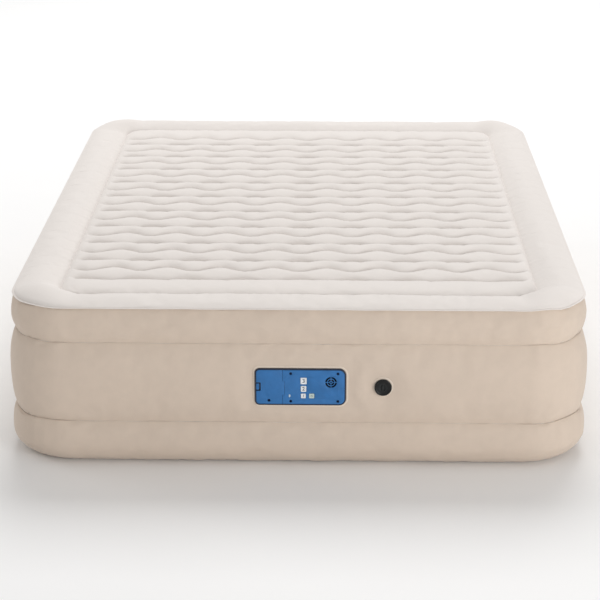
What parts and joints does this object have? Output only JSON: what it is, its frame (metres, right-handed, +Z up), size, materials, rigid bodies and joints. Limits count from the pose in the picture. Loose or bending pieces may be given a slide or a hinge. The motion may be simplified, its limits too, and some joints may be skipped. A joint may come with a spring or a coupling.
{
  "type": "air mattress",
  "caption": "Raised double-height air mattress with a wavy pillow top, a rounded rim, a built-in electric pump with a cord compartment, and a screw-cap inflation valve.",
  "frame": {"origin": "centre of the underside, on the floor", "axes": "+Z up; +Y along the length, away from the pump; +X to the right when facing the pump"},
  "size_m": [1.52, 2.0321, 0.46],
  "materials": {
    "flocked_top": "matte",
    "flocked_side": "matte",
    "base_vinyl": "satin",
    "inner_vinyl": "satin",
    "navy_plastic": "satin",
    "blue_plastic": "satin",
    "dark_plastic": "satin",
    "button_plastic": "satin",
    "light_lens": "gloss",
    "valve_plastic": "satin",
    "black_rubber": "matte",
    "screw_steel": "satin",
    "bright_steel": "satin",
    "circuit_board": "satin"
  },
  "bodies": {
    "root": {"bottom_sheet": "base_vinyl", "lower_side_band": "flocked_side", "middle_side_band": "flocked_side", "front_side_panel": "flocked_side", "upper_side_band": "flocked_side", "top_sheet": "flocked_top", "lower_divider_sheet": "inner_vinyl", "upper_divider_sheet": "inner_vinyl", "straight_beam_01": "inner_vinyl", "straight_beam_02": "inner_vinyl", "straight_beam_03": "inner_vinyl", "straight_beam_04": "inner_vinyl", "straight_beam_05": "inner_vinyl", "straight_beam_06": "inner_vinyl", "straight_beam_07": "inner_vinyl", "straight_beam_08": "inner_vinyl", "straight_beam_09": "inner_vinyl", "straight_beam_10": "inner_vinyl", "wavy_beam_01": "inner_vinyl", "wavy_beam_02": "inner_vinyl", "wavy_beam_03": "inner_vinyl", "wavy_beam_04": "inner_vinyl", "wavy_beam_05": "inner_vinyl", "wavy_beam_06": "inner_vinyl", "wavy_beam_07": "inner_vinyl", "wavy_beam_08": "inner_vinyl", "wavy_beam_09": "inner_vinyl", "wavy_beam_10": "inner_vinyl", "core_beam_1": "inner_vinyl", "core_beam_2": "inner_vinyl", "pump_housing": "navy_plastic", "control_panel": "blue_plastic", "hinge_pin": "bright_steel", "cord_tray": "dark_plastic", "cord_gland": "black_rubber", "panel_screw_1": "screw_steel", "panel_screw_2": "screw_steel", "panel_screw_3": "screw_steel", "panel_screw_4": "screw_steel", "door_frame_screw": "screw_steel", "led_lens": "light_lens", "control_board": "circuit_board", "volute": "dark_plastic", "motor": "bright_steel", "outlet_duct": "dark_plastic", "outlet_valve_cage": "dark_plastic", "outlet_valve_spring": "bright_steel", "valve_socket": "valve_plastic"},
    "cord_door": {"cord_door": "blue_plastic"},
    "door_latch": {"door_latch": "blue_plastic"},
    "button_firm": {"button_firm": "button_plastic"},
    "button_medium": {"button_medium": "button_plastic"},
    "button_soft": {"button_soft": "button_plastic"},
    "button_deflate": {"button_deflate": "button_plastic"},
    "rotor": {"motor_shaft": "bright_steel", "impeller": "dark_plastic"},
    "outlet_valve": {"outlet_valve_disc": "black_rubber"},
    "cap_seal": {"valve_seal": "black_rubber"},
    "valve_cap": {"valve_cap": "valve_plastic"},
    "check_flap": {"check_flap": "black_rubber"}
  },
  "joints": [
    {"name": "cord_door_hinge", "type": "hinge", "parent": "root", "child": "cord_door", "pos_m": [-0.035, -1.0134, 0.226], "axis": [0, 0, 1], "range_deg": [0, 105]},
    {"name": "door_latch_slide", "type": "slide", "parent": "cord_door", "child": "door_latch", "axis": [1, 0, 0], "range_m": [0, 0.002], "stiffness_N_per_m": 400},
    {"name": "button_firm_press", "type": "slide", "parent": "root", "child": "button_firm", "axis": [0, 1, 0], "range_m": [0, 0.001], "stiffness_N_per_m": 700},
    {"name": "button_medium_press", "type": "slide", "parent": "root", "child": "button_medium", "axis": [0, 1, 0], "range_m": [0, 0.001], "stiffness_N_per_m": 700},
    {"name": "button_soft_press", "type": "slide", "parent": "root", "child": "button_soft", "axis": [0, 1, 0], "range_m": [0, 0.001], "stiffness_N_per_m": 700},
    {"name": "button_deflate_press", "type": "slide", "parent": "root", "child": "button_deflate", "axis": [0, 1, 0], "range_m": [0, 0.001], "stiffness_N_per_m": 700},
    {"name": "rotor_spin", "type": "hinge", "parent": "root", "child": "rotor", "pos_m": [0.0875, -0.985, 0.2391], "axis": [0, -1, 0], "continuous": true},
    {"name": "outlet_valve_slide", "type": "slide", "parent": "root", "child": "outlet_valve", "axis": [0, 1, 0], "range_m": [0, 0.005], "stiffness_N_per_m": 150, "deforming": ["outlet_valve_spring"]},
    {"name": "valve_cap_lift", "type": "slide", "parent": "root", "child": "cap_seal", "axis": [0, -1, 0], "range_m": [0, 0.015]},
    {"name": "valve_cap_turn", "type": "hinge", "parent": "cap_seal", "child": "valve_cap", "pos_m": [0.221, -1.0118, 0.226], "axis": [0, -1, 0], "range_deg": [0, 1080]},
    {"name": "check_flap_hinge", "type": "hinge", "parent": "root", "child": "check_flap", "pos_m": [0.221, -0.9842, 0.2405], "axis": [1, 0, 0], "range_deg": [0, 60], "stiffness_Nm_per_rad": 0.002}
  ],
  "couplings": [
    {"joint": "valve_cap_lift", "follows": "valve_cap_turn", "m_per_rad": 0.0007958}
  ]
}
